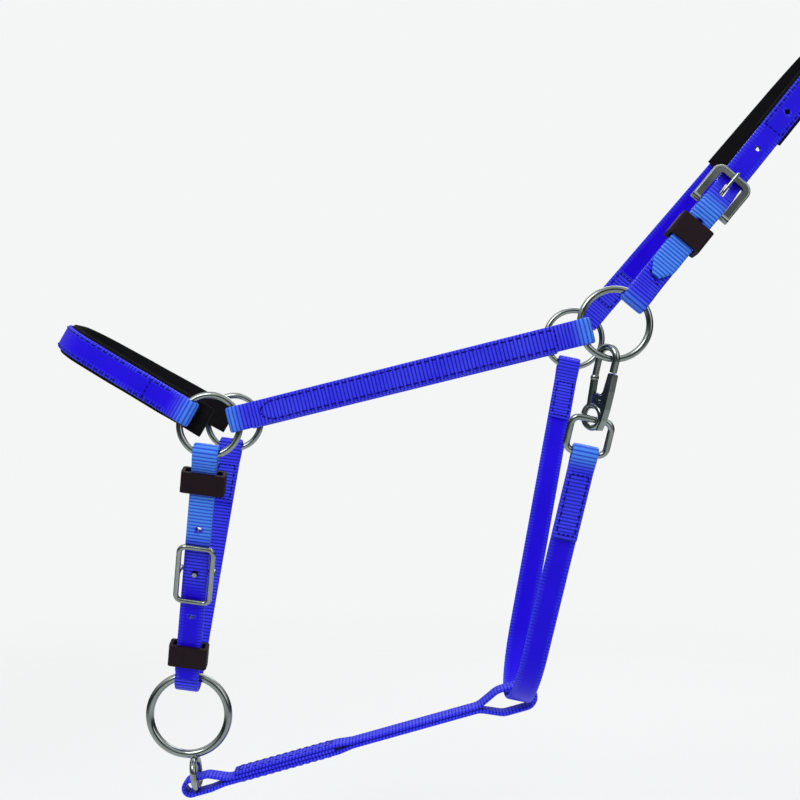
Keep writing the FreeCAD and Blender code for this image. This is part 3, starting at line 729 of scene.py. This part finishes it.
# ---- Crown strap ----
# The long strap over the poll: its punched billet comes down through the buckle to a clipped
# point, and its other end is folded round the far cheek ring and sewn back.
crown_tip = 17.5 * mm
buckle_length = 24 * mm
billet_hole = 3.6 * mm
hole_pitch = 32 * mm
tongue_slot_length = 12.6 * mm
over_tab = half_layer + half_webbing + layer_gap + half_webbing
over_heel = heel_bar_wire / 2 + bar_clearance + webbing_thickness + layer_gap + half_webbing
billet = [
    on_crown(crown_tip, over_tab),
    on_crown(heel_bar_place - 11 * mm, over_tab),
    on_crown(heel_bar_place - 4 * mm, over_heel),
    on_crown(heel_bar_place + 9 * mm, over_heel),
    on_crown(heel_bar_place + buckle_length - 5 * mm, 0.0),
]
crown_route = rounded_line(*joined(
    (billet, [9 * mm] * 4),
    ([crown_near_corner, crown_far_corner], [crown_corner] * 2),
    fold(crown_far, heading_to(crown_far_corner, crown_far), ring_wire, ring_clearance,
         cheek_dip, sewn_tail, 1),
))


def clipped_point(distance):
    return 2.5 * mm + distance * (5.5 / 9)


# Painted highlight on the billet below the buckle; flattened weave and painted shade over the poll
crown_strap = strip("crown_strip", crown_route, crown_place, webbing_width, webbing_thickness, webbing,
                    start_width=clipped_point, painted_highlight=[(-20 * mm, 62 * mm)],
                    smooth_painted_shade=[(72 * mm, crown_route[-1][2] - 60 * mm)])
first_hole = heel_bar_place + 18 * mm
punched(crown_strap, crown_place,
        [(on_crown(first_hole + count * hole_pitch), crown_heading) for count in (1, 2, -1)],
        billet_hole, billet_hole)
punched(crown_strap, crown_place, [(on_crown(first_hole - 5 * mm), crown_heading)],
        billet_hole, billet_hole, tongue_slot_length)
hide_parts("crown_strap")
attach(crown_strap, "crown")


# ---- Crown pad ----
# The same black felt under the strap where it crosses the poll, sewn on along both edges and
# across each end.
crown_pad_start = 140 * mm
crown_pad_low = -half_webbing - layer_gap - pad_thickness / 2
crown_arch = [
    on_crown(crown_pad_start), crown_near_corner, crown_far_corner,
    along(crown_far, crown_far_corner, crown_pad_start),
]
crown_pad_points = [
    on_crown(crown_pad_start, crown_pad_low),
    moved_corner(crown_near, crown_near_corner, crown_far_corner, crown_pad_low),
    moved_corner(crown_near_corner, crown_far_corner, crown_far, crown_pad_low),
    along(crown_far, crown_far_corner, crown_pad_start, -crown_pad_low),
]
pad_strip("crown_felt", rounded_line(crown_pad_points, [crown_corner + crown_pad_low] * 2),
          crown_place, "crown", "crown_pad")
crown_face = rounded_line(crown_arch, [crown_corner] * 2)
crown_total = crown_face[-1][2]
crown_box = sewn_box(3 * mm, crown_total - 3 * mm, pad_row)
sew("crown_stitching", crown_face, crown_place, half_webbing, crown_box, "crown")
far_crown_end = rounded_line([crown_far, along(crown_far, crown_far_corner, 60 * mm)])
sew("far_crown_stitching", far_crown_end, crown_place, -half_layer - half_webbing, far_end_box, "crown")
sew("far_crown_under_stitching", far_crown_end, crown_place, half_layer + half_webbing, far_end_box, "crown")


# ---- Crown buckle ----
# A stainless heel-bar buckle: a cast frame with a wire tongue that turns on the heel bar and
# rests on the end bar, through one of the billet's holes.
finish_node("crown_buckle_frame", stainless, 50)
finish_node("crown_buckle_tongue", stainless)


# ---- Keepers ----
# Short bands of black coated leather that hold the loose ends down: one on the crown and two on
# the chin strap. They slide along the straps and stay put by friction.
# Coated split leather: a near black brown skin with a fine printed grain, a dull gloss and
# edges rubbed a little paler.
keeper_leather = new_material("coated_split_leather")
leather_place = add(keeper_leather, "TexCoord")
grain_width = 0.6 * mm
grain = add(keeper_leather, "TexVoronoi", {
    "Vector": leather_place.outputs["Object"], "Scale": 1 / grain_width}, feature="SMOOTH_F1")
rubbed_patch = 7 * mm
rub_wear_and_painted_highlight = add(keeper_leather, "TexNoise", {
    "Vector": leather_place.outputs["Object"], "Scale": 1 / rubbed_patch, "Detail": 5.0})
leather_tone = add(keeper_leather, "Mix", {
    0: rub_wear_and_painted_highlight.outputs["Fac"], 6: linear("#12080D"), 7: linear("#22121A")}, data_type="RGBA")
leather_gloss = add(keeper_leather, "MapRange", {
    "Value": rub_wear_and_painted_highlight.outputs["Fac"], "From Min": 0.3, "From Max": 0.7, "To Min": 0.4, "To Max": 0.6})
leather_relief = add(keeper_leather, "Bump", {
    "Height": grain.outputs["Distance"], "Strength": 0.35, "Distance": 0.12 * mm})
surface(keeper_leather, {
    "Base Color": leather_tone.outputs[2], "Roughness": leather_gloss.outputs[0],
    "Specular IOR Level": 0.1, "Normal": leather_relief.outputs[0]})
for keeper_name in ("crown_keeper", "chin_keeper_upper", "chin_keeper_lower"):
    finish_node(keeper_name, keeper_leather)
    rubbed_edge = nodes[keeper_name].modifiers.new("rubbed_edge", "BEVEL")
    rubbed_edge.width = 0.45 * mm
    rubbed_edge.segments = 3
    rubbed_edge.limit_method = "ANGLE"
    rubbed_edge.angle_limit = radians(50)


# ---- Chin strap ----
# One strip from the far nose ring down through the lead ring and up to the near nose ring, then
# back down over itself to a rounded tip, punched along its middle.
lead_centre = mounts["lead_ring_clip"]
lead_ring_radius = 26.25 * mm
lead_ring_wire = 5.5 * mm
lead_top = lead_centre + Vector((0, 0, lead_ring_radius))
chin_angle = angle_to(nose_centre, lead_top)
chin_drop = (lead_top - nose_centre).length
chin_swing = radians(5)
chin_tip = 162 * mm
chin_buckle_place = 83 * mm
chin_hole = 3.8 * mm
chin_hole_pitch = 31 * mm
chin_place = strap_plane(nose_centre, chin_angle)
lead_dip = lead_ring_radius - sqrt(lead_ring_radius ** 2 - (webbing_width / 2) ** 2)
lead_lean = abs(-pi / 2 - chin_angle) + chin_swing
lead_swing_room = running_gap + lead_dip + webbing_width / 2 * sin(lead_lean)
chin_bottom = chin_drop + lead_dip + lead_ring_wire / 2 + lead_swing_room + half_webbing
chin_half_width = lead_ring_wire / 2 + lead_swing_room + half_webbing
chin_near = flat(-nose_half_width, nose_fold)
chin_far = flat(nose_half_width, nose_fold)
chin_near_corner = flat(-chin_half_width - half_layer, chin_bottom)
chin_far_corner = flat(chin_half_width, chin_bottom)
chin_heading = heading_to(chin_near, chin_near_corner)
chin_corner = 0.96 * chin_half_width / tan(chin_heading.angle(flat(1, 0)) / 2)
chin_route = rounded_line(*joined(
    backwards(fold(chin_near, -chin_heading, ring_wire, ring_clearance, nose_dip, chin_tip, 1, False)),
    ([flat(-chin_half_width, chin_bottom), chin_far_corner], [chin_corner] * 2),
    fold(chin_far, heading_to(chin_far_corner, chin_far), ring_wire, ring_clearance, nose_dip, sewn_tail, 1),
))


def rounded_tip(distance):
    reach = webbing_width / 2
    return sqrt(max(reach ** 2 - max(reach - distance, 0) ** 2, (0.8 * mm) ** 2))


# Painted highlight from the near ring fold down to the buckle; flattened weave and painted shade from there
# to the tip
chin_strap = strip("chin_strip", chin_route, chin_place, webbing_width, webbing_thickness, webbing,
                   start_width=rounded_tip, painted_highlight=[(chin_tip - 60 * mm, chin_tip + 24 * mm)],
                   smooth_painted_shade=[(-20 * mm, chin_tip - 92 * mm)])
punched(chin_strap, chin_place, [
    (along(chin_near, chin_near_corner, chin_buckle_place + count * chin_hole_pitch), chin_heading)
    for count in (-1, 0, 1, 2)], chin_hole, chin_hole)
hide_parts("chin_strap")
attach(chin_strap, "chin")
far_chin_end = rounded_line([chin_far, along(chin_far, chin_far_corner, 60 * mm)])
sew("far_chin_stitching", far_chin_end, chin_place, -half_layer - half_webbing, far_end_box, "chin")
sew("far_chin_under_stitching", far_chin_end, chin_place, half_layer + half_webbing, far_end_box, "chin")


# ---- Chin buckle, lead ring and throat loop ----
# A two-bar buckle with a fixed prong through the strap's holes, and a large ring with a cast
# rectangular eye for the jaw strap. The throat strap's rectangular loop is bent from wire.
for fitting in ("conway_buckle", "lead_ring", "throat_loop"):
    finish_node(fitting, stainless)


# ---- Throat strap ----
# A strip under the throat from the snap's rectangular loop to the far cheek ring, folded and
# sewn at both ends.
throat_angle = radians(-101.8)
throat_drop = 250 * mm
throat_half_width = 42 * mm
throat_loop_place = 40.2 * mm
loop_length = 21.5 * mm
loop_wire = 4.2 * mm
throat_tail = 56 * mm
throat_place = strap_plane(cheek_centre, throat_angle)
throat_near = flat(-cheek_half_width, cheek_fold)
throat_far = flat(cheek_half_width, cheek_fold)
throat_near_corner = flat(-throat_half_width, throat_drop)
throat_far_corner = flat(throat_half_width, throat_drop)
throat_heading = heading_to(throat_near, throat_near_corner)
throat_corner = 0.96 * throat_half_width / tan(throat_heading.angle(flat(1, 0)) / 2)
throat_bar = along(throat_near, throat_near_corner, throat_loop_place + loop_length)
throat_route = rounded_line(*joined(
    backwards(fold(throat_bar, -throat_heading, loop_wire, bar_clearance, 0, throat_tail, 1)),
    ([throat_near_corner, throat_far_corner], [throat_corner] * 2),
    fold(throat_far, heading_to(throat_far_corner, throat_far), ring_wire, ring_clearance,
         cheek_dip, sewn_tail, 1),
))
throat_turn = throat_tail + 6 * mm
# Painted highlight past the fold at the throat loop; flattened weave and painted shade along the rest to the
# far fold
throat_strap = strip(
    "throat_strip", throat_route, throat_place, webbing_width, webbing_thickness, webbing,
    painted_highlight=[(throat_turn - 12 * mm, throat_turn + 5 * mm)],
    smooth_painted_shade=[(throat_turn + 16 * mm, throat_route[-1][2] - 60 * mm)])
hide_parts("throat_strap")
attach(throat_strap, "throat")
throat_end = rounded_line([throat_bar, along(throat_bar, throat_near_corner, 70 * mm)])
throat_box = sewn_box(14 * mm, throat_tail - 3 * mm, stitch_row)
sew("throat_stitching", throat_end, throat_place, half_layer + half_webbing, throat_box, "throat")
sew("throat_under_stitching", throat_end, throat_place, -half_layer - half_webbing, throat_box, "throat")
far_throat_end = rounded_line([throat_far, along(throat_far, throat_far_corner, 60 * mm)])
sew("far_throat_stitching", far_throat_end, throat_place, -half_layer - half_webbing, far_end_box,
    "throat")
sew("far_throat_under_stitching", far_throat_end, throat_place, half_layer + half_webbing, far_end_box,
    "throat")


# ---- Throat snap ----
# A cast stainless snap hook whose gate turns on a riveted pin and is pushed shut by a leaf of
# spring steel. It clips on the near cheek ring, and its eye holds the throat loop.
for snap_piece in ("snap_body", "snap_gate", "snap_gate_pin", "snap_spring"):
    finish_node(snap_piece, stainless, 40)


# ---- Jaw strap ----
# A layered strip from the lead ring's eye back to the throat strap: folded round the eye's bar,
# lapped and sewn, and looped round the throat strap at its rear end.
splice_start = 22 * mm
splice_end = 96 * mm
eye_wire = 4.5 * mm
eye_angle = radians(-83)
eye_drop = 48 * mm
front_reach = 8.6 * mm
rear_room = 12.8 * mm
rear_radius = 8 * mm
rear_length = 26 * mm
eye_bar = lead_centre + Vector((cos(eye_angle), 0, sin(eye_angle))) * eye_drop
throat_bottom = cheek_centre + Vector((cos(throat_angle), 0, sin(throat_angle))) * throat_drop
jaw_front = flat(eye_bar.x, eye_bar.z)
jaw_back = flat(throat_bottom.x, throat_bottom.z)
jaw_length = (jaw_back - jaw_front).length
layer = webbing_thickness + layer_gap
under_bar = -(eye_wire / 2 + running_gap + half_webbing)
over_bar = eye_wire / 2 + 2.3 * mm + half_webbing
front_radius = (over_bar - under_bar) / 2
split = jaw_length - rear_length
rear = jaw_length + rear_room
jaw_runs = [
    (splice_end, 0, 12 * mm),
    (splice_start, 0, 12 * mm),
    (splice_start - 13 * mm, over_bar, 8 * mm),
    (-front_reach, over_bar, front_radius),
    (-front_reach, under_bar, front_radius),
    (splice_start - 13 * mm, under_bar, 12 * mm),
    (splice_start - 3 * mm, -layer, 12 * mm),
    (splice_end + 2 * mm, -layer, 12 * mm),
    (splice_end + 12 * mm, -layer / 2, 12 * mm),
    (split, -layer / 2, 12 * mm),
    (split + 15 * mm, -rear_radius, 12 * mm),
    (rear, -rear_radius, rear_radius),
    (rear, rear_radius, rear_radius),
    (split + 15 * mm, rear_radius, 12 * mm),
    (split, layer / 2, 12 * mm),
    (splice_end + 12 * mm, layer / 2, 12 * mm),
    (splice_end + 2 * mm, layer, 12 * mm),
    (splice_start + 5 * mm, layer, 12 * mm),
]


def jaw_place(x, y, z):
    return Vector((x, -z, y))


jaw_route = rounded_line(
    [along(jaw_front, jaw_back, distance, up) for distance, up, radius in jaw_runs],
    [radius for distance, up, radius in jaw_runs[1:-1]],
)
jaw_strap = strip("jaw_strip", jaw_route, jaw_place, webbing_width, webbing_thickness, webbing)
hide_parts("jaw_strap")
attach(jaw_strap, "jaw")
jaw_line = rounded_line([jaw_front, jaw_back])
jaw_box = sewn_box(splice_start + 8 * mm, splice_end - 2 * mm, stitch_row)
sew("jaw_top_stitching", jaw_line, jaw_place, layer + half_webbing, jaw_box, "jaw")
sew("jaw_under_stitching", jaw_line, jaw_place, -layer - half_webbing, jaw_box, "jaw")


# ---- Floor, light and camera ----
# A plain pale floor that fades out, under soft studio light from above and from the near side.
# It lies low enough for the lead ring to hang clear of it when the cheek straps swing down.
floor_material = new_material("pale_studio_floor")
floor_place = add(floor_material, "TexCoord")
floor_reach = add(floor_material, "VectorMath", {0: floor_place.outputs["Object"]}, operation="LENGTH")
floor_fade = add(floor_material, "MapRange", {
    "Value": floor_reach.outputs["Value"], "From Min": 0.3, "From Max": 1.7, "To Min": 0.0, "To Max": 1.0},
    interpolation_type="SMOOTHSTEP")
floor_paint = add(floor_material, "BsdfDiffuse", {"Color": linear("#DFE1E1")})
floor_clear = add(floor_material, "BsdfTransparent")
floor_mix = add(floor_material, "MixShader", {
    0: floor_fade.outputs[0], 1: floor_paint.outputs[0], 2: floor_clear.outputs[0]})
add(floor_material, "OutputMaterial", {"Surface": floor_mix.outputs[0]})
floor_mesh = bpy.data.meshes.new("floor")
floor_built = bmesh.new()
bmesh.ops.create_circle(floor_built, cap_ends=True, segments=96, radius=2.4)
floor_built.to_mesh(floor_mesh)
floor_built.free()
floor_mesh.materials.append(floor_material)
floor = bpy.data.objects.new("floor", floor_mesh)
bpy.context.scene.collection.objects.link(floor)
floor.location = (-0.29, 0, cad_box[0][2] - 0.13)

studio = bpy.data.worlds.new("studio")
studio.use_nodes = True
studio.node_tree.nodes.clear()
sky_place = add(studio, "TexCoord")
sky_height = add(studio, "SeparateXYZ", {"Vector": sky_place.outputs["Generated"]})
sky_lift = add(studio, "MapRange", {
    "Value": sky_height.outputs["Z"], "From Min": 0.0, "From Max": 0.75, "To Min": 0.0, "To Max": 1.0},
    interpolation_type="SMOOTHSTEP")
sky_sink = add(studio, "MapRange", {
    "Value": sky_height.outputs["Z"], "From Min": 0.0, "From Max": -0.5, "To Min": 0.0, "To Max": 1.0})
sky_low = add(studio, "Mix", {
    0: sky_sink.outputs[0], 6: linear("#2C3431"), 7: linear("#868C8A")}, data_type="RGBA")
sky_tone = add(studio, "Mix", {
    0: sky_lift.outputs[0], 6: sky_low.outputs[2], 7: linear("#FFFFFF")}, data_type="RGBA")
ray = add(studio, "LightPath")
seen_tone = add(studio, "Mix", {
    0: ray.outputs["Is Camera Ray"], 6: sky_tone.outputs[2], 7: linear("#F4F6F6")}, data_type="RGBA")
backdrop = add(studio, "Background", {"Color": seen_tone.outputs[2], "Strength": 1.0})
add(studio, "OutputWorld", {"Surface": backdrop.outputs[0]})
bpy.context.scene.world = studio


def softbox(name, place, aim, size, power, tint="#FFFFFF"):
    lamp = bpy.data.lights.new(name, "AREA")
    lamp.shape = "RECTANGLE"
    lamp.size, lamp.size_y = size
    lamp.energy = power
    lamp.color = linear(tint)[:3]
    light = bpy.data.objects.new(name, lamp)
    light.location = place
    light.rotation_euler = (Vector(aim) - Vector(place)).to_track_quat("-Z", "Y").to_euler()
    bpy.context.scene.collection.objects.link(light)


halter_middle = (-0.29, 0, -0.26)
softbox("key", (-1.0, -1.3, 0.9), halter_middle, (0.8, 0.8), 17)
softbox("fill", (0.9, -1.2, 0.2), halter_middle, (0.7, 1.0), 4)
softbox("back", (0.2, 1.3, 0.9), halter_middle, (1.0, 0.8), 9)

camera_data = bpy.data.cameras.new("camera")
camera_data.lens = 60
camera_data.sensor_width = 36
camera_data.clip_start = 0.05
camera = bpy.data.objects.new("camera", camera_data)
camera.location = (-0.2929, -0.895, -0.2409)
camera.rotation_euler = (radians(90), 0, 0)
bpy.context.scene.collection.objects.link(camera)
bpy.context.scene.camera = camera
bpy.context.scene.view_settings.view_transform = "Standard"
